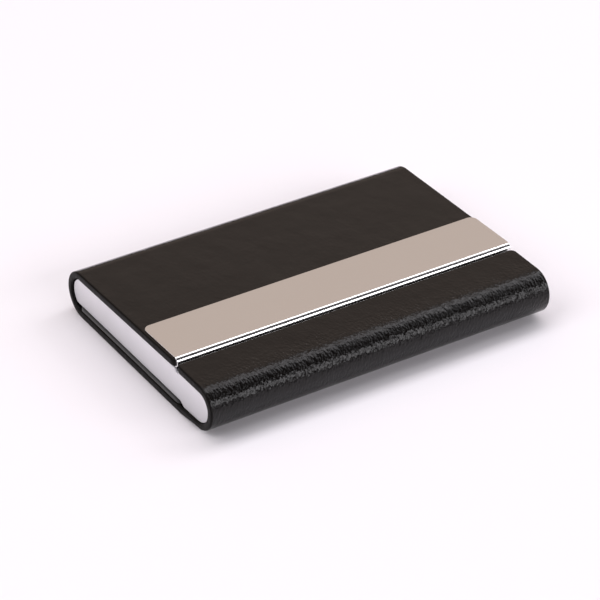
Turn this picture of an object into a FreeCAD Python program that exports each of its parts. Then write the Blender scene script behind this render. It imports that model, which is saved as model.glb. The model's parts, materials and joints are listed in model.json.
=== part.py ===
import FreeCAD, Part
import math
import os
import Sketcher

# A leather-covered business card case.  A sheet-metal tray is held in a leather wrap that makes the
# base, the rounded nose and the flap.  The wrap runs on round the spine, which bends, into the lid.
# X runs along the case, -Y is the nose, +Y is the spine, +Z is up, and Z = 0 is the table.
# Sizes are in millimetres and angles in degrees.

SIZES = [
    ("case_length", 95.0, "whole case, end to end"),
    ("case_width", 68.5, "whole case, nose to spine"),
    ("base_height", 13.0, "table to the top of the flap"),
    ("spine_height", 12.5, "table to the top of the spine"),
    ("flap_depth", 15.95, "nose to the free edge of the flap"),
    ("nose_radius", 5.4, "upper curve of the nose"),
    ("nose_lift", 0.8, "table to the leather under the nose"),
    ("nose_run", 14.75, "nose to where the base lies flat on the table"),
    ("nose_thin", 0.6, "by how much the wrap is thinner under the nose"),
    ("leather_thick", 0.6, "one layer of leather"),
    ("board_thick", 0.8, "boards and front shell inside the leather"),
    ("spine_core_thick", 0.6, "flexible lining inside the spine"),
    ("hem_width", 7.0, "leather turned in over the boards"),
    ("fit_gap", 0.1, "room between a board and the leather round it"),
    ("lining_thick", 1.1, "base lining that lies over the hems"),
    ("lid_lining_thick", 0.3, "lid lining that lies over the hems"),
    ("lining_inset", 3.5, "lid lining edge to the end of the case"),
    ("sheet_thick", 0.5, "tray metal"),
    ("wall_recess", 0.6, "end wall back from the end of the case"),
    ("wall_gap", 0.15, "end wall to the parts above it and round it"),
    ("spine_gap", 0.35, "end wall to the inside of the spine"),
    ("bay_front", 15.25, "nose to the front edge of the tray floor"),
    ("bay_back", 5.6, "spine to the back edge of the tray floor"),
    ("notch_radius", 0.9, "relief notch in the end wall at the flap edge"),
    ("lid_tilt", 1.2, "closed lid rises towards its strip"),
    ("strip_thick", 0.35, "steel of the lid strip"),
    ("strip_length", 94.2, "lid strip, end to end"),
    ("strip_offset", 0.4, "lid strip towards +X"),
    ("strip_depth", 15.1, "flat top of the lid strip"),
    ("strip_under", 17.1, "leg of the strip under the lid"),
    ("strip_corner", 1.8, "rounded back corners of the strip"),
    ("flap_gap", 0.55, "flap edge to the nose of the strip"),
    ("spine_step", 60.0, "angle of one spine section"),
    ("spine_slit", 0.6, "angle left free at each end of a section"),
    ("magnet_length", 15.0, "closure magnet along X"),
    ("magnet_width", 4.0, "closure magnet along Y"),
    ("magnet_spread", 26.0, "closure magnet to the middle of the case"),
    ("magnet_edge", 0.8, "closure magnet to the edge of the shell"),
]

SPINE_SECTIONS = 3
ALONG = 0  # sketch plane across the case: its normal runs along X
TOP = 1  # sketch plane parallel to the table

doc = FreeCAD.newDocument("card_case")
sheet = doc.addObject("Spreadsheet::Sheet", "Sizes")
for row, (alias, value, note) in enumerate(SIZES, start=1):
    sheet.set(f"A{row}", note)
    sheet.set(f"B{row}", str(value))
    sheet.setAlias(f"B{row}", alias)
doc.recompute()


def size(words):
    """The sheet's aliases in an expression, each written in full for the expression engine."""
    for alias, _value, _note in sorted(SIZES, key=lambda entry: -len(entry[0])):
        words = words.replace(f"<{alias}>", f"Sizes.{alias}")
    return words


def value_of(words):
    """The number that an expression comes to now."""
    result = sheet.evalExpression(size(words))
    return float(getattr(result, "Value", result))


# Places that several parts share, as expressions of the driving sizes.
HALF_LENGTH = "<case_length> / 2"
NOSE_FRONT_Y = "(<case_width> / -2)"
NOSE_Y = "(<nose_radius> - <case_width> / 2)"
NOSE_Z = "(<base_height> - <nose_radius>)"
FLAT_Y = "(<nose_run> - <case_width> / 2)"
SPINE_RADIUS = "(<spine_height> / 2)"
SPINE_Y = "(<case_width> / 2 - <spine_height> / 2)"
SPINE_Z = "(<spine_height> / 2)"
FLAP_EDGE_Y = "(<flap_depth> - <case_width> / 2)"
RIM_THICK = "(2 * <leather_thick> + <board_thick>)"
SPINE_THICK = "(2 * <leather_thick> + <spine_core_thick>)"
SLIT = "(<spine_height> / 2 * sin(<spine_slit> * 1deg))"
BOARD_HALF = "(<case_length> / 2 - <leather_thick>)"
HEM_HALF = "(<case_length> / 2 - <hem_width>)"
FLOOR_Z = "(2 * <leather_thick> + <board_thick> + <lining_thick>)"
BAY_FRONT_Y = "(<bay_front> - <case_width> / 2)"
BAY_BACK_Y = "(<case_width> / 2 - <bay_back>)"

# Places on the lid, measured from its hinge line on top of the spine: -Y is towards the strip.
STRIP_NOSE_RADIUS = f"({RIM_THICK} / 2 + <strip_thick>)"
STRIP_ROLL_Y = f"({FLAP_EDGE_Y} + <flap_gap> + {STRIP_NOSE_RADIUS} - {SPINE_Y})"


def new_body(label):
    body = doc.addObject("PartDesign::Body", label)
    body.Label = label
    return body


def move(body, y="0", z="0", x="0", turn="0"):
    """Puts a body at a place and turns it about X, both by expressions."""
    body.Placement = FreeCAD.Placement(
        FreeCAD.Vector(value_of(x), value_of(y), value_of(z)),
        FreeCAD.Rotation(FreeCAD.Vector(1, 0, 0), 1.0),
    )
    body.setExpression(".Placement.Base.x", size(f"({x}) * 1mm"))
    body.setExpression(".Placement.Base.y", size(f"({y}) * 1mm"))
    body.setExpression(".Placement.Base.z", size(f"({z}) * 1mm"))
    body.setExpression(".Placement.Rotation.Angle", size(f"({turn}) * 1deg"))


def arc_between(start, end, centre, turn):
    """An arc round a centre from start to end, anticlockwise when turn is 1 and clockwise when -1."""
    circle = Part.Circle(centre, FreeCAD.Vector(0, 0, 1), start.distanceToPoint(centre))
    first, last = (start, end) if turn > 0 else (end, start)
    return Part.ArcOfCircle(circle, circle.parameter(first), circle.parameter(last))


def hold(sketch, kind, index, point, words):
    """Ties one coordinate of a sketch point to an expression of the driving sizes."""
    held = sketch.addConstraint(Sketcher.Constraint(kind, -1, 1, index, point, value_of(words)))
    sketch.setExpression(f"Constraints[{held}]", size(f"({words}) * 1mm"))


def outline(body, name, plane, corners):
    """A closed sketch.  A corner is (across, up), or (across, up, centre across, centre up, turn) when
    an arc leads from it to the next: turn is 1 when that arc runs anticlockwise and -1 when not."""
    role = "YZ_Plane" if plane == ALONG else "XY_Plane"
    sketch = body.newObject("Sketcher::SketchObject", f"{body.Name}_{name}")
    origin_plane = [item for item in body.Origin.OriginFeatures if item.Role == role][0]
    sketch.AttachmentSupport = [(origin_plane, "")]
    sketch.MapMode = "FlatFace"
    places = [FreeCAD.Vector(value_of(corner[0]), value_of(corner[1]), 0) for corner in corners]
    turns = [corner[4] if len(corner) == 5 else 0 for corner in corners]
    for index, corner in enumerate(corners):
        start = places[index]
        end = places[(index + 1) % len(places)]
        if turns[index]:
            centre = FreeCAD.Vector(value_of(corner[2]), value_of(corner[3]), 0)
            sketch.addGeometry(arc_between(start, end, centre, turns[index]))
        else:
            sketch.addGeometry(Part.LineSegment(start, end))
    for index, corner in enumerate(corners):
        # The end points of an arc that runs clockwise are swapped, because the sketch keeps every
        # arc anticlockwise.
        begin = 2 if turns[index] < 0 else 1
        finish = 1 if turns[index - 1] < 0 else 2
        before = (index - 1) % len(corners)
        sketch.addConstraint(Sketcher.Constraint("Coincident", before, finish, index, begin))
        hold(sketch, "DistanceX", index, begin, corner[0])
        hold(sketch, "DistanceY", index, begin, corner[1])
        if turns[index]:
            # With both ends held, the centre can only move across the chord.
            chord = places[(index + 1) % len(places)].sub(places[index])
            if abs(chord.y) > abs(chord.x):
                hold(sketch, "DistanceX", index, 3, corner[2])
            else:
                hold(sketch, "DistanceY", index, 3, corner[3])
    doc.recompute()
    return sketch


def pad(body, name, plane, corners, length):
    """Adds an outline, drawn out equally to both sides of its plane."""
    sketch = outline(body, name, plane, corners)
    feature = body.newObject("PartDesign::Pad", f"{body.Name}_{name}_pad")
    feature.Profile = sketch
    feature.SideType = "Symmetric"
    feature.setExpression("Length", size(f"({length}) * 1mm"))
    doc.recompute()
    return feature


def pocket(body, name, plane, corners, length):
    """Cuts an outline, drawn out equally to both sides of its plane."""
    sketch = outline(body, name, plane, corners)
    feature = body.newObject("PartDesign::Pocket", f"{body.Name}_{name}_pocket")
    feature.Profile = sketch
    feature.SideType = "Symmetric"
    feature.setExpression("Length", size(f"({length}) * 1mm"))
    doc.recompute()
    return feature


def strip_of(front, back, low, high):
    """A rectangle across the case, from its Y and Z limits."""
    return [(front, low), (back, low), (back, high), (front, high)]


# Surfaces in the wrap: how deep each lies in the flap and base, and by how much less under the nose.
OUTSIDE = ("0", "0")
UNDER_LEATHER = ("<leather_thick>", "0")
OVER_HEM = (f"({RIM_THICK} - <leather_thick>)", "<nose_thin>")
INSIDE = (RIM_THICK, "<nose_thin>")
BEYOND = (f"({RIM_THICK} + 1)", "<nose_thin>")


def low_curve(surface):
    """The centre and the lowest point of a surface's lower curve, from the front of the nose."""
    depth, thinner = surface
    radius = f"({NOSE_Z} - <nose_lift> - {depth} + {thinner})"
    centre = f"({NOSE_FRONT_Y} + {depth} + {radius})"
    return centre, f"({NOSE_Z} - {radius})"


def nose_down(surface):
    """Corners of a surface round the nose, from the flap down to where the base lies flat."""
    depth, _thinner = surface
    low_y, low_z = low_curve(surface)
    return [
        (NOSE_Y, f"<base_height> - {depth}", NOSE_Y, NOSE_Z, 1),
        (f"({NOSE_FRONT_Y} + {depth})", NOSE_Z, low_y, NOSE_Z, 1),
        (low_y, low_z),
        (FLAT_Y, depth),
    ]


def nose_up(surface):
    """Corners of a surface round the nose, from where the base lies flat up to the flap."""
    depth, _thinner = surface
    low_y, low_z = low_curve(surface)
    return [
        (FLAT_Y, depth),
        (low_y, low_z, low_y, NOSE_Z, -1),
        (f"({NOSE_FRONT_Y} + {depth})", NOSE_Z, NOSE_Y, NOSE_Z, -1),
        (NOSE_Y, f"<base_height> - {depth}"),
    ]


def wrap_layer(outer, inner, flap_end, base_end):
    """A layer of the base wrap between two of its surfaces: flap, nose and base."""
    return [
        (flap_end, f"<base_height> - {outer[0]}"),
        *nose_down(outer),
        (base_end, outer[0]),
        (base_end, inner[0]),
        *nose_up(inner),
        (flap_end, f"<base_height> - {inner[0]}"),
    ]


def nose_layer(outer, inner, flap_end):
    """A layer of the flap and nose only, between two surfaces of the wrap."""
    return [
        (flap_end, f"<base_height> - {outer[0]}"),
        *nose_down(outer),
        *nose_up(inner),
        (flap_end, f"<base_height> - {inner[0]}"),
    ]


def base_leather():
    """The wrap of flap, nose and base.  It turns in over the boards at both ends and at the flap."""
    body = new_body("base_leather")
    base_end = f"({SPINE_Y} - {SLIT})"
    pad(body, "wrap", ALONG, wrap_layer(OUTSIDE, INSIDE, FLAP_EDGE_Y, base_end), "<case_length>")
    core = wrap_layer(
        UNDER_LEATHER,
        OVER_HEM,
        f"({FLAP_EDGE_Y} - <leather_thick>)",
        f"({base_end} + 1)",
    )
    pocket(body, "board_room", ALONG, core, f"2 * {BOARD_HALF}")
    inside = wrap_layer(
        OVER_HEM,
        BEYOND,
        f"({FLAP_EDGE_Y} - <hem_width>)",
        f"({base_end} + 1)",
    )
    pocket(body, "hem_opening", ALONG, inside, f"2 * {HEM_HALF}")
    return body


def front_shell():
    """The stiff shell that gives the nose and flap their shape, with two rooms for the magnets.  It
    thins out under the nose."""
    body = new_body("front_shell")
    edge = f"({FLAP_EDGE_Y} - <leather_thick> - <fit_gap>)"
    corners = nose_layer(UNDER_LEATHER, OVER_HEM, edge)
    pad(body, "shell", ALONG, corners, f"2 * ({BOARD_HALF} - <fit_gap>)")
    for side in (-1, 1):
        near = f"({side} * <magnet_spread> - <magnet_length> / 2 - <fit_gap>)"
        far = f"({side} * <magnet_spread> + <magnet_length> / 2 + <fit_gap>)"
        back = f"({edge} - <magnet_edge> + <fit_gap>)"
        front = f"({edge} - <magnet_edge> - <magnet_width> - <fit_gap>)"
        room = [(near, front), (far, front), (far, back), (near, back)]
        feature = pocket(body, f"magnet_room_{side + 1}", TOP, room, "2 * <base_height>")
        feature.SideType = "One side"
        feature.Reversed = True
    doc.recompute()
    return body


def closure_magnet(label, side):
    """A bar magnet in the flap, which holds the steel strip of the lid."""
    magnet = doc.addObject("Part::Box", label)
    magnet.Label = label
    magnet.setExpression("Length", size("<magnet_length> * 1mm"))
    magnet.setExpression("Width", size("<magnet_width> * 1mm"))
    magnet.setExpression("Height", size("(<board_thick> - <fit_gap> / 2) * 1mm"))
    edge = f"({FLAP_EDGE_Y} - <leather_thick> - <fit_gap>)"
    low = f"(<base_height> - {RIM_THICK} + <leather_thick> + <fit_gap> / 4)"
    magnet.setExpression(
        ".Placement.Base.x", size(f"({side} * <magnet_spread> - <magnet_length> / 2) * 1mm")
    )
    magnet.setExpression(
        ".Placement.Base.y", size(f"({edge} - <magnet_edge> - <magnet_width>) * 1mm")
    )
    magnet.setExpression(".Placement.Base.z", size(f"{low} * 1mm"))
    return magnet


def front_lining():
    """The lining inside the nose and flap, level with the turned-in leather at both ends."""
    body = new_body("front_lining")
    edge = f"({FLAP_EDGE_Y} - <hem_width> - <fit_gap>)"
    corners = nose_layer(OVER_HEM, INSIDE, edge)
    pad(body, "lining", ALONG, corners, f"2 * ({HEM_HALF} - <fit_gap>)")
    return body


def base_board():
    """The flat board in the bottom of the wrap."""
    body = new_body("base_board")
    corners = strip_of(
        f"({FLAT_Y} + <fit_gap>)",
        f"({SPINE_Y} - {SLIT})",
        "<leather_thick>",
        f"({RIM_THICK} - <leather_thick>)",
    )
    pad(body, "board", ALONG, corners, f"2 * ({BOARD_HALF} - <fit_gap>)")
    return body


def base_lining():
    """The lining between the wrap and the tray: it fills the space between the hems and covers them."""
    body = new_body("base_lining")
    fill = strip_of(
        f"({FLAT_Y} + <fit_gap>)",
        f"({SPINE_Y} - {SLIT})",
        f"({RIM_THICK} - <leather_thick>)",
        RIM_THICK,
    )
    pad(body, "fill", ALONG, fill, f"2 * ({HEM_HALF} - <fit_gap>)")
    cover = strip_of(BAY_FRONT_Y, BAY_BACK_Y, RIM_THICK, FLOOR_Z)
    pad(body, "cover", ALONG, cover, f"2 * ({HALF_LENGTH} - <wall_recess> / 3)")
    return body


def tray():
    """The bent metal tray: a floor and two end walls that fill the open ends of the case."""
    body = new_body("tray")
    back_radius = f"({SPINE_RADIUS} - {SPINE_THICK} - <spine_gap>)"
    back_top = f"(<spine_height> - {RIM_THICK} - <strip_thick> - <wall_gap>)"
    low = f"({FLOOR_Z} + <fit_gap> / 2)"
    step = f"({BAY_FRONT_Y} - {FLOOR_Z} / 2)"
    slope = "tan(<lid_tilt> * 1deg)"
    notch_y = f"({FLAP_EDGE_Y} + <flap_gap>)"
    notch_z = f"({back_top} + ({SPINE_Y} - {notch_y}) * {slope})"
    back_low_y = f"({SPINE_Y} + sqrt({back_radius} ^ 2 - ({SPINE_Z} - {low}) ^ 2))"
    back_top_y = f"({SPINE_Y} + sqrt({back_radius} ^ 2 - ({back_top} - {SPINE_Z}) ^ 2))"
    flap_low = f"(<base_height> - {RIM_THICK} - <wall_gap>)"
    wall = [
        (f"({notch_y} - <notch_radius>)", flap_low),
        *nose_down((f"({RIM_THICK} + <wall_gap>)", "<nose_thin>"))[:-1],
        (step, f"({RIM_THICK} + <wall_gap>)"),
        (BAY_FRONT_Y, low),
        (back_low_y, low, SPINE_Y, SPINE_Z, 1),
        (back_top_y, back_top),
        (f"({notch_y} + <notch_radius>)", notch_z, notch_y, notch_z, -1),
    ]
    pad(body, "wall", ALONG, wall, f"2 * ({HALF_LENGTH} - <wall_recess>)")
    above = f"({low} + <sheet_thick>)"
    beyond = "<case_width>"
    inside = [
        (f"-({beyond})", f"-({beyond})"),
        (BAY_FRONT_Y, f"-({beyond})"),
        (BAY_FRONT_Y, above),
        (BAY_BACK_Y, above),
        (BAY_BACK_Y, f"-({beyond})"),
        (beyond, f"-({beyond})"),
        (beyond, beyond),
        (f"-({beyond})", beyond),
    ]
    pocket(body, "inside", ALONG, inside, f"2 * ({HALF_LENGTH} - <wall_recess> - <sheet_thick>)")
    return body


def ring_sector(outer, inner, half_angle):
    """A sector of the spine about its own centre line, between two radii."""
    across = f"cos({half_angle} * 1deg)"
    up = f"sin({half_angle} * 1deg)"
    return [
        (f"{outer} * {across}", f"-{outer} * {up}", "0", "0", 1),
        (f"{outer} * {across}", f"{outer} * {up}"),
        (f"{inner} * {across}", f"{inner} * {up}", "0", "0", -1),
        (f"{inner} * {across}", f"-{inner} * {up}"),
    ]


def spine_turn(number):
    """How far a section is turned about the spine's centre line from the middle one."""
    return f"({number} - {(SPINE_SECTIONS + 1) / 2}) * <spine_step>"


def spine_leather(number):
    """One section of the leather spine, with the hems at its ends."""
    body = new_body(f"spine_leather_{number}")
    middle = f"({SPINE_RADIUS} - <leather_thick>)"
    deep = f"({SPINE_RADIUS} - {SPINE_THICK} + <leather_thick>)"
    inner = f"({SPINE_RADIUS} - {SPINE_THICK})"
    solid_half = "(<spine_step> / 2 - <spine_slit>)"
    cut_half = "(<spine_step> / 2 + <spine_slit>)"
    pad(body, "section", ALONG, ring_sector(SPINE_RADIUS, inner, solid_half), "<case_length>")
    room = ring_sector(middle, deep, cut_half)
    pocket(body, "lining_room", ALONG, room, f"2 * {BOARD_HALF}")
    opening = ring_sector(deep, f"({inner} - 1)", cut_half)
    pocket(body, "hem_opening", ALONG, opening, f"2 * {HEM_HALF}")
    move(body, y=SPINE_Y, z=SPINE_Z, turn=spine_turn(number))
    return body


def spine_lining(number):
    """One section of the flexible lining inside the spine, level with the hems at its ends."""
    body = new_body(f"spine_lining_{number}")
    middle = f"({SPINE_RADIUS} - <leather_thick>)"
    deep = f"({SPINE_RADIUS} - {SPINE_THICK} + <leather_thick>)"
    inner = f"({SPINE_RADIUS} - {SPINE_THICK})"
    half_angle = "(<spine_step> / 2 - <spine_slit>)"
    core = ring_sector(middle, deep, half_angle)
    pad(body, "core", ALONG, core, f"2 * ({BOARD_HALF} - <fit_gap>)")
    face = ring_sector(deep, inner, half_angle)
    pad(body, "face", ALONG, face, f"2 * ({HEM_HALF} - <fit_gap>)")
    move(body, y=SPINE_Y, z=SPINE_Z, turn=spine_turn(number))
    return body


def place_on_lid(body, x="0"):
    """Lid parts are drawn from the hinge line on top of the spine, then tilted with the lid."""
    move(body, x=x, y=SPINE_Y, z="<spine_height>", turn="-<lid_tilt>")


def lid_layer(top, bottom, back):
    """A layer of the lid with a rounded front edge, which fills the roll of the strip."""
    return [
        (back, f"-{top}"),
        (STRIP_ROLL_Y, f"-{top}", STRIP_ROLL_Y, f"-({top} + {bottom}) / 2", 1),
        (STRIP_ROLL_Y, f"-{bottom}"),
        (back, f"-{bottom}"),
    ]


def lid_leather():
    """The leather of the lid, turned in over the board at both ends and at the strip."""
    body = new_body("lid_leather")
    back = f"-{SLIT}"
    pad(body, "wrap", ALONG, lid_layer("0", RIM_THICK, back), "<case_length>")
    board_top = "<leather_thick>"
    board_low = f"({RIM_THICK} - <leather_thick>)"
    room = strip_of(STRIP_ROLL_Y, "1", f"-{board_low}", f"-{board_top}")
    pocket(body, "board_room", ALONG, room, f"2 * {BOARD_HALF}")
    opening = strip_of(
        f"({STRIP_ROLL_Y} + <hem_width>)", "1", f"-({RIM_THICK} + 1)", f"-{board_low}"
    )
    pocket(body, "hem_opening", ALONG, opening, f"2 * {HEM_HALF}")
    place_on_lid(body)
    return body


def lid_board():
    """The stiff board inside the lid."""
    body = new_body("lid_board")
    board = strip_of(
        f"({STRIP_ROLL_Y} + <fit_gap>)",
        f"-{SLIT}",
        f"-({RIM_THICK} - <leather_thick>)",
        "-<leather_thick>",
    )
    pad(body, "board", ALONG, board, f"2 * ({BOARD_HALF} - <fit_gap>)")
    place_on_lid(body)
    return body


def lid_lining():
    """The lining under the lid: it fills the space between the hems and overlaps them."""
    body = new_body("lid_lining")
    fill = strip_of(
        f"({STRIP_ROLL_Y} + <hem_width> + <fit_gap>)",
        f"-{SLIT}",
        f"-{RIM_THICK}",
        f"-({RIM_THICK} - <leather_thick>)",
    )
    pad(body, "fill", ALONG, fill, f"2 * ({HEM_HALF} - <fit_gap>)")
    cover = strip_of(
        f"({STRIP_ROLL_Y} + <strip_under> + <fit_gap>)",
        f"-({SLIT} + <leather_thick>)",
        f"-({RIM_THICK} + <lid_lining_thick>)",
        f"-{RIM_THICK}",
    )
    pad(body, "cover", ALONG, cover, f"2 * ({HALF_LENGTH} - <lining_inset>)")
    place_on_lid(body)
    return body


def edge_strip():
    """The steel strip on the free edge of the lid: a flat top, a rolled nose and a leg under the lid."""
    body = new_body("edge_strip")
    outer_low = f"-({RIM_THICK} + <strip_thick>)"
    top_back = f"({STRIP_ROLL_Y} + <strip_depth>)"
    under_back = f"({STRIP_ROLL_Y} + <strip_under>)"
    corners = [
        (top_back, "<strip_thick>"),
        (STRIP_ROLL_Y, "<strip_thick>", STRIP_ROLL_Y, f"-{RIM_THICK} / 2", 1),
        (STRIP_ROLL_Y, outer_low),
        (under_back, outer_low),
        (under_back, f"-{RIM_THICK}"),
        (STRIP_ROLL_Y, f"-{RIM_THICK}", STRIP_ROLL_Y, f"-{RIM_THICK} / 2", -1),
        (STRIP_ROLL_Y, "0"),
        (top_back, "0"),
    ]
    feature = pad(body, "bend", ALONG, corners, "<strip_length>")
    back_y = value_of(top_back)
    rounded = []
    for index, edge in enumerate(feature.Shape.Edges, start=1):
        centre = edge.CenterOfMass
        upright = abs(edge.Length - value_of("<strip_thick>")) < 1e-4
        if upright and abs(centre.y - back_y) < 1e-4 and abs(centre.x) > 1:
            rounded.append(f"Edge{index}")
    corner_fillet = body.newObject("PartDesign::Fillet", "edge_strip_corners")
    corner_fillet.Base = (feature, rounded)
    corner_fillet.setExpression("Radius", size("<strip_corner> * 1mm"))
    doc.recompute()
    place_on_lid(body, x="<strip_offset>")
    return body


pieces = [
    base_leather(),
    front_shell(),
    front_lining(),
    closure_magnet("closure_magnet_left", -1),
    closure_magnet("closure_magnet_right", 1),
    base_board(),
    base_lining(),
    tray(),
    lid_leather(),
    lid_board(),
    lid_lining(),
    edge_strip(),
]
for section in range(1, SPINE_SECTIONS + 1):
    pieces.append(spine_leather(section))
    pieces.append(spine_lining(section))

doc.recompute()

for item in doc.Objects:
    if "Invalid" in item.State or "Error" in item.State:
        raise RuntimeError(f"{item.Label}: {item.State}")

os.makedirs("parts", exist_ok=True)
for piece in pieces:
    shape = piece.Shape
    if shape.isNull() or not shape.isValid() or not shape.Solids:
        raise RuntimeError(f"{piece.Label} has no valid solid")
    shape.exportStep(f"parts/{piece.Label}.step")
    print(f"{piece.Label}: {len(shape.Solids)} solid, {shape.Volume:.1f} mm3")
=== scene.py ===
import json
import math

import bmesh
import bpy
from mathutils import Matrix, Vector, noise


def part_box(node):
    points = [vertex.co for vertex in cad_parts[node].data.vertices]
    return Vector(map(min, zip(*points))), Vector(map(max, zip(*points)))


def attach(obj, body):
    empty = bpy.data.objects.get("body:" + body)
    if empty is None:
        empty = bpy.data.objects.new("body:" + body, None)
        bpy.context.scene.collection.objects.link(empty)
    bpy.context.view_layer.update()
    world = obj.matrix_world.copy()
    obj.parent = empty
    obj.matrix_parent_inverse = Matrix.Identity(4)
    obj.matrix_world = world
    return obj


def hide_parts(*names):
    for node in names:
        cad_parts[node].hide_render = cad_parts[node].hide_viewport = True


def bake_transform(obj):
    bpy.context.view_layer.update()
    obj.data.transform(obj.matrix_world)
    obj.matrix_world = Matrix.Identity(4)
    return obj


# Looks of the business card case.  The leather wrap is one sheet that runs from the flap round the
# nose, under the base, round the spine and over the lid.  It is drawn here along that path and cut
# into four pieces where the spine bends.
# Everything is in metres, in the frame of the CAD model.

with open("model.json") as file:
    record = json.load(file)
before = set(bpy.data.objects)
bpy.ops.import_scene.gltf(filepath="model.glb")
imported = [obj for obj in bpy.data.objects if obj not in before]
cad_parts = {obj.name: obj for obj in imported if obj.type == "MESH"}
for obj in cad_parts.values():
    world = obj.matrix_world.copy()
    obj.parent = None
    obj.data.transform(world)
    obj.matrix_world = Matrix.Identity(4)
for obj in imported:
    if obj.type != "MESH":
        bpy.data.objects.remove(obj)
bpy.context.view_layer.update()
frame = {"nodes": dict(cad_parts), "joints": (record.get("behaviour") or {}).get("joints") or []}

MM = 0.001

# ---------------------------------------------------------------- sizes from the frame

wrap_low, wrap_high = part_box("base_leather")
shell_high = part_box("front_shell")[1]
strip_low, strip_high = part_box("edge_strip")
floor_lining_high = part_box("base_lining")[1]
joint_place = {joint["name"]: Vector(joint["pos_m"]) for joint in frame["joints"]}

LEATHER = 0.6 * MM  # one layer
BOARD = 0.8 * MM  # what lies between the two layers of a stiff panel
SPINE_CORE = 0.6 * MM  # what lies between them in the spine
RIM = 2 * LEATHER + BOARD
SPINE_RIM = 2 * LEATHER + SPINE_CORE
HEM = 7 * MM  # how far the leather is turned in
ROLL = 0.45 * MM  # radius of the soft edge where the leather turns in
STEEL = 0.35 * MM
LID_TILT = math.radians(1.2)

HALF_LENGTH = wrap_high.x
BASE_HEIGHT = wrap_high.z
NOSE_TOP_RADIUS = 5.4 * MM
NOSE_Z = BASE_HEIGHT - NOSE_TOP_RADIUS
NOSE_TOP_Y = wrap_low.y + NOSE_TOP_RADIUS
NOSE_LIFT = 0.8 * MM  # the leather under the nose is this far off the table
NOSE_LOW_RADIUS = NOSE_Z - NOSE_LIFT
NOSE_LOW_Y = wrap_low.y + NOSE_LOW_RADIUS
NOSE_THIN = 0.6 * MM  # the wrap is thinner by this under the nose
FLAT_Y = wrap_low.y + 14.75 * MM  # where the base comes down to the table
FIT_GAP = 0.1 * MM  # room between a board or lining and the leather round it
FLAP_EDGE_Y = shell_high.y + LEATHER + FIT_GAP
SPINE_Y = joint_place["lid_hinge"].y
SPINE_RADIUS = joint_place["lid_hinge"].z / 2
STRIP_NOSE_RADIUS = RIM / 2 + STEEL
STRIP_GAP = 0.55 * MM  # between the flap's edge and the nose of the strip
STRIP_ROLL_Y = FLAP_EDGE_Y + STRIP_GAP + STRIP_NOSE_RADIUS - SPINE_Y  # from the lid's hinge line
STRIP_TOP = 15.1 * MM  # how far the strip reaches over the lid
STRIP_LEG = 17.1 * MM  # and under it

# ---------------------------------------------------------------- the path of the wrap


class Path:
    """A line in the plane across the case, measured along its length.  A place on it gives a point
    and the direction out of the case, each as (y, z)."""

    def __init__(self):
        self.runs = []
        self.length = 0.0

    def add(self, span, place, fine):
        self.runs.append((self.length, span, place, fine))
        self.length += span
        return self

    def straight(self, start, end):
        start, end = Vector(start), Vector(end)
        along = (end - start).normalized()
        out = Vector((along.y, -along.x))
        return self.add((end - start).length, lambda s: (start + along * s, out), 2.4 * MM)

    def arc(self, centre, radius, first, last):
        centre = Vector(centre)

        def place(s):
            angle = first + s / radius
            out = Vector((math.cos(angle), math.sin(angle)))
            return centre + out * radius, out

        return self.add((last - first) * radius, place, 0.2 * MM)

    def ease(self, start, end):
        """A gentle step in height along Y, level at both ends."""
        start, end = Vector(start), Vector(end)
        run, rise = end.x - start.x, end.y - start.y

        def place(s):
            t = min(max(s / run, 0), 1)
            along = Vector((run, rise * 6 * t * (1 - t))).normalized()
            point = Vector((start.x + run * t, start.y + rise * t * t * (3 - 2 * t)))
            return point, Vector((along.y, -along.x))

        return self.add(run, place, 0.8 * MM)

    def at(self, s):
        for begin, span, place, _fine in self.runs:
            if s <= begin + span + 1e-9:
                return place(s - begin)
        begin, _span, place, _fine = self.runs[-1]
        return place(s - begin)

    def stations(self, first, last, extra):
        """Where the mesh has its cross lines between two places, with some extra ones."""
        found = [first, last] + [s for s in extra if first < s < last]
        for begin, span, _place, fine in self.runs:
            count = max(1, math.ceil(span / fine))
            found += [begin + span * i / count for i in range(count + 1)]
        return spaced([s for s in found if first - 1e-9 <= s <= last + 1e-9])


def spaced(values, gap=0.02 * MM):
    """The values in order, without any that nearly repeat."""
    kept = []
    for value in sorted(values):
        if not kept or value - kept[-1] > gap:
            kept.append(value)
    return kept


wrap = Path()
wrap.straight((FLAP_EDGE_Y, BASE_HEIGHT), (NOSE_TOP_Y, BASE_HEIGHT))
wrap.arc((NOSE_TOP_Y, NOSE_Z), NOSE_TOP_RADIUS, math.pi / 2, math.pi)
nose_front_s = wrap.length
wrap.arc((NOSE_LOW_Y, NOSE_Z), NOSE_LOW_RADIUS, math.pi, 3 * math.pi / 2)
nose_low_s = wrap.length
wrap.ease((NOSE_LOW_Y, NOSE_LIFT), (FLAT_Y, 0))
flat_s = wrap.length
wrap.straight((FLAT_Y, 0), (SPINE_Y, 0))
spine_start_s = wrap.length
wrap.arc((SPINE_Y, SPINE_RADIUS), SPINE_RADIUS, -math.pi / 2, math.pi / 2 + LID_TILT)
spine_end_s = wrap.length
lid_start = wrap.at(spine_end_s)[0]
lid_along = Vector((-math.cos(LID_TILT), math.sin(LID_TILT)))
LID_LENGTH = -STRIP_ROLL_Y + RIM / 2 - SPINE_RADIUS * LID_TILT
wrap.straight(lid_start, lid_start + lid_along * LID_LENGTH)

SECTION_TURN = math.pi / 3  # the spine bends at three sections of this angle


def spine_place(turns):
    """How far along the wrap a place on the spine is, counted in sections from its lower edge."""
    return spine_start_s + SPINE_RADIUS * SECTION_TURN * turns


# ---------------------------------------------------------------- mesh making


def link(name, mesh):
    piece = bpy.data.objects.new(name, mesh)
    bpy.context.scene.collection.objects.link(piece)
    return piece


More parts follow.
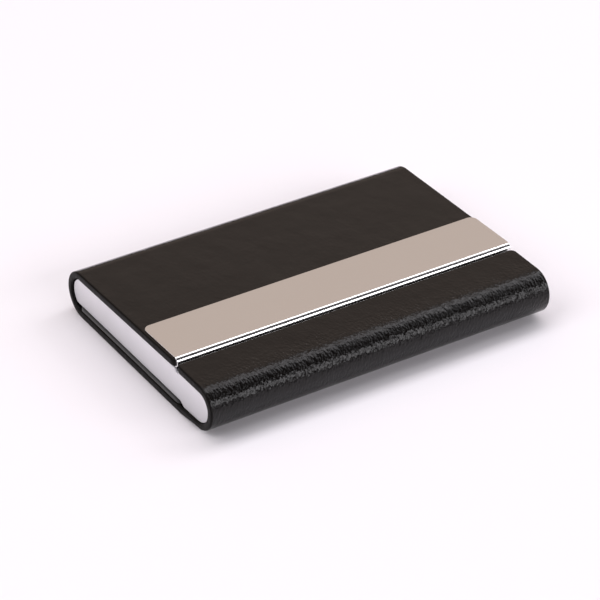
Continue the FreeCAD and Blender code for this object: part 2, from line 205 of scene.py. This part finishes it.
def finish_mesh(name, surface, sharp_angle=40):
    """Turns a bmesh into a piece: faces out, smooth, with sharp edges where faces meet steeply."""
    bmesh.ops.recalc_face_normals(surface, faces=surface.faces)
    limit = math.radians(sharp_angle)
    for face in surface.faces:
        face.smooth = True
    for edge in surface.edges:
        edge.smooth = len(edge.link_faces) == 2 and edge.calc_face_angle(0.0) < limit
    mesh = bpy.data.meshes.new(name)
    surface.to_mesh(mesh)
    surface.free()
    return link(name, mesh)


def edge_lines(roll):
    """How far in from an edge the mesh has its lines, so that the edge can be rounded."""
    return [roll * (1 - math.cos(math.radians(angle))) for angle in range(0, 91, 15)]


def rounding(inset, roll):
    """How far a rounded edge falls away at a distance in from it."""
    if inset >= roll:
        return 0.0
    return roll - math.sqrt(max(roll**2 - (roll - inset) ** 2, 0.0))


class Slab:
    """A sheet that follows a path, with rounded free edges.  top and bottom give its two depths under
    the path at (x, s, inset from the nearest free edge).  With hem set it is leather turned in
    round a board: one layer on the outside, a turned-in border on the inside and room between."""

    def __init__(
        self,
        path,
        first,
        last,
        half_width,
        top,
        bottom,
        roll,
        free_first=False,
        free_last=False,
        corner=1.6 * MM,
        hem=0.0,
        across=2.4 * MM,
    ):
        self.path = path
        self.first, self.last = first, last
        self.half_width = half_width
        self.top, self.bottom = top, bottom
        self.roll = roll
        self.free_first, self.free_last = free_first, free_last
        self.corner = corner
        self.hem = hem
        insets = edge_lines(roll) + ([LEATHER, hem] if hem else [])
        if free_first or free_last:  # lines that fan out evenly round the corners
            insets += [corner * (1 - math.tan(step * math.pi / 16)) for step in range(4)]
        count = math.ceil(half_width / across)
        even = [half_width * i / count for i in range(count + 1)]
        half = spaced([d for d in even if d > 1.2 * roll] + insets)
        right = [half_width - d for d in half]
        self.xs = spaced(right + [-x for x in right])
        extra = []
        if free_first:
            extra += [first + d for d in insets]
        if free_last:
            extra += [last - d for d in insets]
        self.ss = path.stations(first, last, extra)
        self.surface = bmesh.new()
        self.made = {}

    def insets(self, x, s):
        """Distance in from the side edges and from the nearest free end."""
        side = self.half_width - abs(x)
        ends = [10.0]
        if self.free_first:
            ends.append(s - self.first)
        if self.free_last:
            ends.append(self.last - s)
        return side, min(ends)

    def plan(self, x, s):
        """Rounds the corners of the sheet in its own plane."""
        side, end = self.insets(x, s)
        a, b = self.corner - side, self.corner - end
        if a <= 0 or b <= 0:
            return x, s
        scale = max(a, b) / math.hypot(a, b)
        moved_side = self.corner - a * scale
        moved_end = self.corner - b * scale
        new_x = math.copysign(self.half_width - moved_side, x)
        if self.free_first and s - self.first < self.corner:
            return new_x, self.first + moved_end
        return new_x, self.last - moved_end

    def depth(self, layer, x, s):
        inset = min(self.insets(x, s))
        fall = rounding(inset, self.roll)
        if layer == "top":
            return self.top(x, s, inset) + fall
        if layer == "bottom":
            return self.bottom(x, s, inset) - fall
        if layer == "room_top":
            return self.top(x, s, 1.0) + LEATHER
        return self.bottom(x, s, 1.0) - LEATHER

    def vertex(self, layer, i, j):
        key = (layer, i, j)
        if key not in self.made:
            x, s = self.xs[i], self.ss[j]
            depth = self.depth(layer, x, s)
            x, s = self.plan(x, s)
            point, out = self.path.at(s)
            point = point - out * depth
            self.made[key] = self.surface.verts.new((x, point.x, point.y))
        return self.made[key]

    def cell_inset(self, i, j):
        x = (self.xs[i] + self.xs[i + 1]) / 2
        s = (self.ss[j] + self.ss[j + 1]) / 2
        return min(self.insets(x, s))

    def has_room(self, i, j):
        inside = 0 <= i < len(self.xs) - 1 and 0 <= j < len(self.ss) - 1
        return bool(self.hem) and inside and self.cell_inset(i, j) > LEATHER

    def has_bottom(self, i, j):
        inside = 0 <= i < len(self.xs) - 1 and 0 <= j < len(self.ss) - 1
        return inside and (not self.hem or self.cell_inset(i, j) < self.hem)

    def face(self, corners):
        self.surface.faces.new(list(dict.fromkeys(corners)))

    def sheet(self, layer, i, j):
        around = ((i, j), (i + 1, j), (i + 1, j + 1), (i, j + 1))
        self.face([self.vertex(layer, *at) for at in around])

    def wall(self, layers, start, end):
        """A face that stands between layers, over one line of the mesh."""
        down = [self.vertex(layer, *start) for layer in layers]
        up = [self.vertex(layer, *end) for layer in reversed(layers)]
        self.face(down + up)

    def ladder(self, at, beside):
        """The layers that meet at one place of an outer wall, from the top down."""
        touches = self.hem and any(
            self.has_room(at[0] + di, at[1] + dj) for di in (-1, 0) for dj in (-1, 0)
        )
        if touches and beside:
            return ["top", "room_top", "room_bottom", "bottom"]
        return ["top", "bottom"]

    def build(self, name, sharp_angle=40):
        last_i, last_j = len(self.xs) - 2, len(self.ss) - 2
        for i in range(last_i + 1):
            for j in range(last_j + 1):
                room, under = self.has_room(i, j), self.has_bottom(i, j)
                self.sheet("top", i, j)
                if under:
                    self.sheet("bottom", i, j)
                if room:
                    self.sheet("room_top", i, j)
                if room and under:
                    self.sheet("room_bottom", i, j)
                if room:
                    self.room_walls(i, j, under)
        for j in range(last_j + 1):
            for i in (0, last_i + 1):
                self.wall(("top", "bottom"), (i, j), (i, j + 1))
        for i in range(last_i + 1):
            for j, cell_j, free in ((0, 0, self.free_first), (last_j + 1, last_j, self.free_last)):
                if free:
                    self.wall(("top", "bottom"), (i, j), (i + 1, j))
                elif self.has_room(i, cell_j):
                    self.wall(("top", "room_top"), (i, j), (i + 1, j))
                    if self.has_bottom(i, cell_j):
                        self.wall(("room_bottom", "bottom"), (i, j), (i + 1, j))
                else:
                    self.end_wall(i, j, cell_j)
        self.paint_lengths()
        return finish_mesh(name, self.surface, sharp_angle)

    def room_walls(self, i, j, under):
        """The sides of the room inside a turned-in sheet, and the cut edge of what is turned in."""
        around = (
            ((i, j), (i, j + 1), i - 1, j),
            ((i + 1, j), (i + 1, j + 1), i + 1, j),
            ((i, j), (i + 1, j), i, j - 1),
            ((i, j + 1), (i + 1, j + 1), i, j + 1),
        )
        for start, end, next_i, next_j in around:
            outside = not (0 <= next_i < len(self.xs) - 1 and 0 <= next_j < len(self.ss) - 1)
            if outside:
                continue
            if not self.has_room(next_i, next_j):
                self.wall(("room_top", "room_bottom"), start, end)
            elif under and not self.has_bottom(next_i, next_j):
                self.wall(("room_bottom", "bottom"), start, end)

    def end_wall(self, i, j, cell_j):
        """The end of the solid edge beside the room, where another piece carries on."""
        left = self.ladder((i, j), self.has_room(i - 1, cell_j))
        right = self.ladder((i + 1, j), self.has_room(i + 1, cell_j))
        down = [self.vertex(layer, i, j) for layer in left]
        up = [self.vertex(layer, i + 1, j) for layer in reversed(right)]
        self.face(down + up)

    def paint_lengths(self):
        """Gives every corner its place on the flat sheet, in millimetres, for the grain."""
        place = {vert: (self.xs[key[1]], self.ss[key[2]]) for key, vert in self.made.items()}
        flat = self.surface.loops.layers.uv.new("flat")
        for face in self.surface.faces:
            for loop in face.loops:
                x, s = place[loop.vert]
                loop[flat].uv = (x / MM, s / MM)


# ---------------------------------------------------------------- materials


class Nodes:
    """A short way to write a material's nodes."""

    def __init__(self, name):
        self.material = bpy.data.materials.new(name)
        self.material.use_nodes = True
        self.tree = self.material.node_tree
        self.shader = self.tree.nodes["Principled BSDF"]

    def add(self, kind, inputs=None, **settings):
        node = self.tree.nodes.new(kind)
        for key, value in settings.items():
            setattr(node, key, value)
        for key, value in (inputs or {}).items():
            self.put(node.inputs[key], value)
        return node

    def put(self, socket, value):
        if isinstance(value, bpy.types.NodeSocket):
            self.tree.links.new(value, socket)
        else:
            socket.default_value = value

    def set(self, **values):
        for key, value in values.items():
            self.put(self.shader.inputs[key.replace("_", " ")], value)

    def math(self, operation, first, second=0.0, third=0.0):
        node = self.add("ShaderNodeMath", {0: first, 1: second, 2: third}, operation=operation)
        return node.outputs[0]

    def flat(self, stretch=(1, 1, 1)):
        """The place on the flat sheet in millimetres, stretched."""
        uv = self.add("ShaderNodeUVMap", uv_map="flat")
        return self.stretched(uv.outputs["UV"], stretch)

    def solid(self, stretch=(1, 1, 1)):
        """The place in the object in millimetres, stretched."""
        place = self.add("ShaderNodeTexCoord").outputs["Object"]
        return self.stretched(place, [value / MM for value in stretch])

    def sheet_place(self):
        """The place on the flat sheet in millimetres: across it, and along it from its free edge."""
        node = self.add("ShaderNodeSeparateXYZ", {0: self.flat()})
        return node.outputs["X"], node.outputs["Y"]

    def height(self):
        """The height in the object in millimetres."""
        place = self.add("ShaderNodeSeparateXYZ", {0: self.solid()})
        return place.outputs["Z"]

    def stretched(self, vector, stretch):
        node = self.add("ShaderNodeVectorMath", {0: vector, 1: stretch}, operation="MULTIPLY")
        return node.outputs[0]

    def noise(self, vector, scale=1.0, detail=3.0, rough=0.55, distortion=0.0):
        node = self.add(
            "ShaderNodeTexNoise",
            {
                "Vector": vector,
                "Scale": scale,
                "Detail": detail,
                "Roughness": rough,
                "Distortion": distortion,
            },
        )
        return node.outputs["Fac"]

    def cells(self, vector, scale, feature="F1", smooth=1.0):
        node = self.add("ShaderNodeTexVoronoi", {"Vector": vector, "Scale": scale}, feature=feature)
        if feature == "SMOOTH_F1":
            node.inputs["Smoothness"].default_value = smooth
        return node.outputs["Distance"]

    def ramp(self, value, low, high, to_low=0.0, to_high=1.0):
        node = self.add(
            "ShaderNodeMapRange",
            {"Value": value, 1: low, 2: high, 3: to_low, 4: to_high},
            clamp=True,
        )
        return node.outputs[0]

    def mix(self, factor, first, second):
        node = self.add("ShaderNodeMix", data_type="RGBA")
        self.put(node.inputs["Factor"], factor)
        self.put(node.inputs[6], first)
        self.put(node.inputs[7], second)
        return node.outputs[2]

    def bump(self, height, strength, distance, normal=None):
        node = self.add(
            "ShaderNodeBump", {"Height": height, "Strength": strength, "Distance": distance}
        )
        if normal is not None:
            self.put(node.inputs["Normal"], normal)
        return node.outputs[0]


def leather_material():
    """Smooth black coated leather: fine crossways wrinkles with small pebbles between them.  The
    grain is deepest where the sheet bends round the nose, and the edges at both ends are dull."""
    m = Nodes("leather_black")
    pebbles = m.cells(m.flat((1.0, 0.5, 1.0)), 2.2, "SMOOTH_F1", 0.3)
    wrinkles = m.noise(m.flat((1.0, 0.42, 1.0)), 1.8, 3.0, 0.6, 0.5)
    pores = m.noise(m.flat(), 7.0, 2.0, 0.6)
    swell = m.noise(m.flat((1.0, 0.7, 1.0)), 0.13, 2.0, 0.5)
    mottle = m.noise(m.flat(), 0.30, 4.0, 0.65)
    grain = m.math("ADD", m.math("MULTIPLY", wrinkles, 0.9), m.math("MULTIPLY", pebbles, 0.7))
    grain = m.math("ADD", grain, m.math("MULTIPLY", pores, 0.12))
    colour = m.mix(
        m.ramp(mottle, 0.3, 0.7), (0.0026, 0.0020, 0.0018, 1), (0.0042, 0.0032, 0.0029, 1)
    )
    colour = m.mix(m.ramp(grain, 0.45, 0.75), (0.0014, 0.0011, 0.0010, 1), colour)
    across, along = m.sheet_place()
    bent = m.math("MULTIPLY", m.ramp(along, 5.0, 11.0), m.ramp(along, 24.0, 18.0))
    cut_edge = m.ramp(m.math("ABSOLUTE", across), 46.9, 47.3)
    strength = m.ramp(bent, 0.0, 1.0, 0.30, 1.0)
    rough = m.math("ADD", m.ramp(grain, 0.5, 1.1, 0.18, 0.09), m.math("MULTIPLY", cut_edge, 0.3))
    m.set(Base_Color=colour, Roughness=rough, IOR=1.36)
    m.set(Specular_IOR_Level=m.ramp(cut_edge, 0.0, 1.0, 0.5, 0.15))
    m.set(Normal=m.bump(grain, strength, 0.15 * MM, m.bump(swell, 0.4, 0.6 * MM)))
    return m.material


def steel_material():
    """Polished stainless steel with very fine rubbed lines along its length."""
    m = Nodes("strip_steel")
    lines = m.noise(m.solid((0.05, 9.0, 9.0)), 1.0, 3.0, 0.6)
    haze = m.noise(m.solid(), 0.09, 3.0, 0.6)
    rough = m.math("ADD", m.ramp(haze, 0.3, 0.7, 0.17, 0.19), m.ramp(lines, 0.3, 0.8, 0.0, 0.02))
    m.set(Base_Color=(0.86, 0.855, 0.85, 1), Metallic=1.0, Roughness=rough)
    m.set(Normal=m.bump(lines, 0.03, 0.01 * MM))
    return m.material


def tray_material():
    """Light silver coating, satin and very slightly mottled, with painted shade towards its foot."""
    m = Nodes("tray_silver")
    fine = m.noise(m.solid(), 14.0, 2.0, 0.5)
    cloud = m.noise(m.solid(), 0.12, 3.0, 0.55)
    colour = m.mix(m.ramp(cloud, 0.3, 0.7), (0.76, 0.745, 0.775, 1), (0.80, 0.785, 0.815, 1))
    # Painted shade: the silver is blended towards a darker grey lower down, by height in the object.
    low = m.math("MULTIPLY", m.ramp(m.height(), 9.5, 2.0), 0.9)
    colour = m.mix(low, colour, (0.50, 0.49, 0.51, 1))
    m.set(Base_Color=colour, Metallic=0.15, Roughness=m.ramp(fine, 0.3, 0.7, 0.36, 0.44))
    m.set(Normal=m.bump(fine, 0.12, 0.01 * MM))
    return m.material


def lining_material():
    """Black napped lining: short fibres that lie one way, over a close weave."""
    m = Nodes("lining_suede")
    nap = m.noise(m.flat((1.0, 0.28, 1.0)), 7.0, 4.0, 0.7, 0.4)
    brushed = m.noise(m.flat((1.0, 0.5, 1.0)), 0.16, 3.0, 0.6)
    tint = m.math("ADD", m.math("MULTIPLY", nap, 0.6), m.math("MULTIPLY", brushed, 0.4))
    colour = m.mix(m.ramp(tint, 0.35, 0.68), (0.012, 0.0115, 0.0118, 1), (0.034, 0.032, 0.033, 1))
    m.set(Base_Color=colour, Roughness=0.93, Sheen_Weight=0.35, Sheen_Roughness=0.45)
    m.set(Normal=m.bump(nap, 0.6, 0.12 * MM))
    return m.material


def board_material():
    """Grey pressed board with flecks of fibre."""
    m = Nodes("grey_board")
    fibre = m.noise(m.solid((1.0, 0.35, 1.0)), 2.4, 5.0, 0.7)
    flecks = m.ramp(m.noise(m.solid(), 5.0, 2.0, 0.5), 0.62, 0.7)
    colour = m.mix(m.ramp(fibre, 0.3, 0.7), (0.25, 0.22, 0.18, 1), (0.36, 0.33, 0.28, 1))
    colour = m.mix(flecks, colour, (0.12, 0.10, 0.08, 1))
    m.set(Base_Color=colour, Roughness=0.9, Normal=m.bump(fibre, 0.4, 0.08 * MM))
    return m.material


def shell_material():
    """Black moulded sheet with a fine spark-eroded skin."""
    m = Nodes("shell_sheet")
    skin = m.noise(m.solid(), 6.0, 3.0, 0.6)
    colour = m.mix(m.ramp(skin, 0.3, 0.7), (0.018, 0.018, 0.019, 1), (0.03, 0.03, 0.031, 1))
    m.set(Base_Color=colour, Roughness=m.ramp(skin, 0.3, 0.7, 0.5, 0.62))
    m.set(Normal=m.bump(skin, 0.3, 0.03 * MM))
    return m.material


def magnet_material():
    """Bright nickel plating, a little dull at random."""
    m = Nodes("nickel_plate")
    dull = m.noise(m.solid(), 1.2, 4.0, 0.6)
    rough = m.ramp(dull, 0.3, 0.7, 0.18, 0.34)
    m.set(Base_Color=(0.60, 0.58, 0.54, 1), Metallic=1.0, Roughness=rough)
    m.set(Normal=m.bump(dull, 0.05, 0.02 * MM))
    return m.material


def dress(piece, material):
    piece.data.materials.clear()
    piece.data.materials.append(material)
    return piece


leather = leather_material()
steel = steel_material()
silver = tray_material()
suede = lining_material()

# ---------------------------------------------------------------- the leather wrap


def rim_depth(s):
    """Thickness of the turned edge: less under the nose, and a little less where the spine bends."""
    if s < nose_front_s:
        return RIM
    if s < nose_low_s:
        turn = (s - nose_front_s) / NOSE_LOW_RADIUS
        return RIM - NOSE_THIN * (1 - math.cos(turn))
    if s < flat_s:
        return RIM - NOSE_THIN * (flat_s - s) / (flat_s - nose_low_s)
    change = 1.5 * MM
    into = min(max((s - spine_start_s) / change, 0), 1)
    out_of = min(max((spine_end_s - s) / change, 0), 1)
    share = min(into, out_of)
    return RIM + (SPINE_RIM - RIM) * share * share * (3 - 2 * share)


def wrap_top(x, s, inset):
    """The outside of the leather is nearly flat: it only swells and sinks a few hundredths."""
    place = Vector((x / (19 * MM), s / (11 * MM), 0.37))
    ease = min(inset / (3 * MM), 1.0)
    return 0.03 * MM * ease * (noise.noise(place) + 0.25)


def wrap_bottom(x, s, inset):
    return rim_depth(s)


def blend_places(lower, upper):
    """Where a spine piece starts and stops turning.  Each is moved in from the piece's ends by what
    the inside of the leather needs to stay with its neighbour."""
    low_point = Vector((0.0, *wrap.at(lower)[0]))
    high_point = Vector((0.0, *wrap.at(upper)[0]))
    along = (high_point - low_point).normalized()
    share = SPINE_RIM * math.sin(SECTION_TURN / 2)
    return low_point + along * share, high_point - along * share


SPINE_CUTS = [spine_place(0.5), spine_place(1.5), spine_place(2.5)]
BEND_RUN = 2.5 * MM  # how far the bend reaches into the flat of the base and of the lid

base_blend = blend_places(spine_start_s - BEND_RUN, SPINE_CUTS[0])
low_blend = blend_places(SPINE_CUTS[0], SPINE_CUTS[1])
high_blend = blend_places(SPINE_CUTS[1], SPINE_CUTS[2])
lid_blend = blend_places(SPINE_CUTS[2], spine_end_s + BEND_RUN)

WRAP_PIECES = [
    ("wrap_front", 0.0, SPINE_CUTS[0], ("base", "spine_1"), base_blend, ["base_leather"]),
    (
        "wrap_spine_lower",
        SPINE_CUTS[0],
        SPINE_CUTS[1],
        ("spine_1", "spine_2"),
        low_blend,
        ["spine_leather_1"],
    ),
    (
        "wrap_spine_upper",
        SPINE_CUTS[1],
        SPINE_CUTS[2],
        ("spine_2", "spine_3"),
        high_blend,
        ["spine_leather_2"],
    ),
    (
        "wrap_lid",
        SPINE_CUTS[2],
        wrap.length,
        ("spine_3", "lid"),
        lid_blend,
        ["spine_leather_3", "lid_leather"],
    ),
]

for name, first, last, bodies, (start, end), replaced in WRAP_PIECES:
    slab = Slab(
        wrap,
        first,
        last,
        HALF_LENGTH,
        wrap_top,
        wrap_bottom,
        ROLL,
        free_first=first == 0.0,
        free_last=last == wrap.length,
        hem=HEM,
    )
    piece = dress(slab.build(name), leather)
    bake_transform(piece)
    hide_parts(*replaced)

# ---------------------------------------------------------------- linings


def lining(name, path, first, last, half_width, top, bottom, roll=0.12 * MM, **ends):
    slab = Slab(path, first, last, half_width, top, bottom, roll, corner=1.2 * MM, **ends)
    piece = dress(slab.build(name), suede)
    return piece


LINING_HALF = HALF_LENGTH - HEM - FIT_GAP


SPINE_LINING = [
    (
        "spine_lining_base",
        spine_start_s + FIT_GAP,
        SPINE_CUTS[0],
        ("base", "spine_1"),
        base_blend,
        [],
    ),
    (
        "spine_lining_lower",
        SPINE_CUTS[0],
        SPINE_CUTS[1],
        ("spine_1", "spine_2"),
        low_blend,
        ["spine_lining_1"],
    ),
    (
        "spine_lining_upper",
        SPINE_CUTS[1],
        SPINE_CUTS[2],
        ("spine_2", "spine_3"),
        high_blend,
        ["spine_lining_2"],
    ),
    (
        "spine_lining_lid",
        SPINE_CUTS[2],
        spine_end_s,
        ("spine_3", "lid"),
        lid_blend,
        ["spine_lining_3"],
    ),
]
for name, first, last, bodies, (start, end), replaced in SPINE_LINING:
    piece = lining(
        name,
        wrap,
        first,
        last,
        LINING_HALF,
        lambda x, s, inset: LEATHER + 0.05 * MM,
        wrap_bottom,
    )
    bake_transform(piece)
    if replaced:
        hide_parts(*replaced)

# The lid lining covers the turned-in leather and sinks to the board between it.
LID_LINING_INSET = 3.5 * MM
LID_LINING_THICK = 0.3 * MM
lid_lining_first = spine_end_s + 0.5 * MM
lid_lining_last = wrap.length - RIM / 2 - STRIP_LEG - FIT_GAP


def lid_lining_bottom(x, s, inset):
    over_hem = (LINING_HALF - abs(x)) / (1.4 * MM)
    sink = min(max(over_hem, 0), 1)
    sink = sink * sink * (3 - 2 * sink)
    soft = 0.02 * MM * noise.noise(Vector((x / (9 * MM), s / (9 * MM), 2.1)))
    return RIM + LID_LINING_THICK - (LEATHER - 0.25 * MM) * sink + soft


def lid_lining_top(x, s, inset):
    return lid_lining_bottom(x, s, inset) - LID_LINING_THICK


lid_lining = lining(
    "lid_lining_panel",
    wrap,
    lid_lining_first,
    lid_lining_last,
    HALF_LENGTH - LID_LINING_INSET,
    lid_lining_top,
    lid_lining_bottom,
    free_first=True,
    free_last=True,
)
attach(lid_lining, "lid")
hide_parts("lid_lining")

front_lining = lining(
    "front_lining_panel",
    wrap,
    HEM + FIT_GAP,
    flat_s,
    LINING_HALF,
    lambda x, s, inset: rim_depth(s) - LEATHER,
    wrap_bottom,
    free_first=True,
    free_last=True,
)
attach(front_lining, "base")
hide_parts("front_lining")

# The floor lining lies on the turned-in leather of the base, under the tray.
FLOOR_LINING_FRONT_Y = -19 * MM
floor_path = Path().straight(
    (floor_lining_high.y, floor_lining_high.z), (FLOOR_LINING_FRONT_Y, floor_lining_high.z)
)
floor_lining = lining(
    "floor_lining_panel",
    floor_path,
    0.0,
    floor_path.length,
    floor_lining_high.x,
    lambda x, s, inset: 0.0,
    lambda x, s, inset: floor_lining_high.z - RIM,
    roll=0.25 * MM,
    free_first=True,
    free_last=True,
)
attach(floor_lining, "base")
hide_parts("base_lining")

# ---------------------------------------------------------------- the steel strip


def steel_strip():
    """The strip is bent from one sheet: flat top, half-round nose, and a leg under the lid."""
    hinge = Vector((SPINE_Y, 2 * SPINE_RADIUS))
    along = lid_along
    up = Vector((along.y, -along.x))
    roll_at = hinge + along * -STRIP_ROLL_Y

    def lid_point(forward, height):
        return roll_at + along * forward + up * height

    path = Path()
    path.straight(lid_point(-STRIP_TOP, STEEL), lid_point(0, STEEL))
    first = math.atan2(up.y, up.x)
    path.arc(lid_point(0, -RIM / 2), STRIP_NOSE_RADIUS, first, first + math.pi)
    path.straight(lid_point(0, -RIM - STEEL), lid_point(-STRIP_LEG, -RIM - STEEL))
    middle = (strip_low.x + strip_high.x) / 2
    slab = Slab(
        path,
        0.0,
        path.length,
        (strip_high.x - strip_low.x) / 2,
        lambda x, s, inset: 0.0,
        lambda x, s, inset: STEEL,
        0.11 * MM,
        free_first=True,
        free_last=True,
        corner=1.8 * MM,
        across=6 * MM,
    )
    piece = slab.build("strip_sheet", 50)
    piece.data.transform(Matrix.Translation((middle, 0, 0)))
    return piece


strip = dress(steel_strip(), steel)
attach(strip, "lid")
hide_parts("edge_strip")

# ---------------------------------------------------------------- CAD nodes that stay


def soften(node, width):
    """Rounds the edges of a CAD node a little, so that they catch the light."""
    bevel = node.modifiers.new("edges", "BEVEL")
    bevel.width = width
    bevel.segments = 2
    bevel.limit_method = "ANGLE"
    bevel.angle_limit = math.radians(35)


tray = frame["nodes"]["tray"]
dress(tray, silver)
soften(tray, 0.1 * MM)
for name, make in (
    ("base_board", board_material),
    ("lid_board", board_material),
    ("front_shell", shell_material),
    ("closure_magnet_left", magnet_material),
    ("closure_magnet_right", magnet_material),
):
    dress(frame["nodes"][name], make())

# ---------------------------------------------------------------- floor, light and camera


def floor():
    mesh = bpy.data.meshes.new("studio_floor")
    reach = 4.0
    corners = [(-reach, -reach, 0), (reach, -reach, 0), (reach, reach, 0), (-reach, reach, 0)]
    mesh.from_pydata(corners, [], [(0, 1, 2, 3)])
    piece = link("studio_floor", mesh)
    m = Nodes("paper_floor")
    m.set(Base_Color=(0.905, 0.875, 0.905, 1), Roughness=0.9, Specular_IOR_Level=0.1)
    piece.data.materials.append(m.material)
    piece.location.z = -0.02 * MM


LIGHT_DISTANCE = 1.3


def softbox(name, angle, across, length, radiance, colour, along=0.0):
    """A long diffuse light, parallel to the case.  Seen from the case, angle is its height in degrees
    from the front horizon up and over the top, and across is how wide it looks in degrees.  along
    is how far its middle is moved towards +X."""
    rise = math.radians(angle)
    light = bpy.data.lights.new(name, "AREA")
    light.shape = "RECTANGLE"
    light.size = length
    light.size_y = 2 * LIGHT_DISTANCE * math.tan(math.radians(across / 2))
    light.energy = radiance * math.pi * light.size * light.size_y
    light.color = colour
    lamp = bpy.data.objects.new(name, light)
    bpy.context.scene.collection.objects.link(lamp)
    lamp.location = (along, -math.cos(rise) * LIGHT_DISTANCE, math.sin(rise) * LIGHT_DISTANCE)
    lamp.rotation_euler = (math.pi / 2 - rise, 0, 0)
    return lamp


def side_light(name, angle, side, radiance, colour):
    """A square diffuse light beyond one end.  angle is its height in degrees from the horizon on the
    -X side up and over the top."""
    across = 2 * math.degrees(math.atan(side / 2 / LIGHT_DISTANCE))
    lamp = softbox(name, 90, across, side, radiance, colour)
    rise = math.radians(angle)
    lamp.location = (-math.cos(rise) * LIGHT_DISTANCE, 0, math.sin(rise) * LIGHT_DISTANCE)
    lamp.rotation_euler = (0, rise - math.pi / 2, 0)


def surroundings():
    """A dim even room, which keeps the sides away from the lights from going black."""
    world = bpy.data.worlds.new("studio")
    bpy.context.scene.world = world
    world.use_nodes = True
    background = world.node_tree.nodes["Background"]
    background.inputs["Color"].default_value = (0.96, 0.94, 1.0, 1)
    background.inputs["Strength"].default_value = 0.04


def camera():
    data = bpy.data.cameras.new("camera")
    data.sensor_width = 36.0
    data.lens = 183.0
    data.clip_start = 0.01
    view = bpy.data.objects.new("camera", data)
    bpy.context.scene.collection.objects.link(view)
    turn, height, distance = math.radians(-32.1), math.radians(33.0), 0.745
    aim = Vector((0.38, 4.2, 1.8)) * MM
    away = Vector(
        (
            math.sin(turn) * math.cos(height),
            -math.cos(turn) * math.cos(height),
            math.sin(height),
        )
    )
    view.location = aim + away * distance
    view.rotation_euler = (-away).to_track_quat("-Z", "Y").to_euler()
    bpy.context.scene.camera = view


floor()
surroundings()
camera()
softbox("overhead", 103, 25, 1.9, 2.8, (1.0, 0.97, 1.0), 0.45)
softbox("front", 25, 19, 1.5, 5.2, (0.99, 0.97, 1.0), 0.55)
softbox("behind", 146, 50, 3.2, 0.53, (1.0, 0.81, 0.70))
side_light("left", 44, 0.95, 3.3, (0.98, 0.97, 1.0))
side_light("right", 146, 0.85, 2.0, (0.97, 0.96, 1.0))
bpy.context.scene.view_settings.view_transform = "Standard"
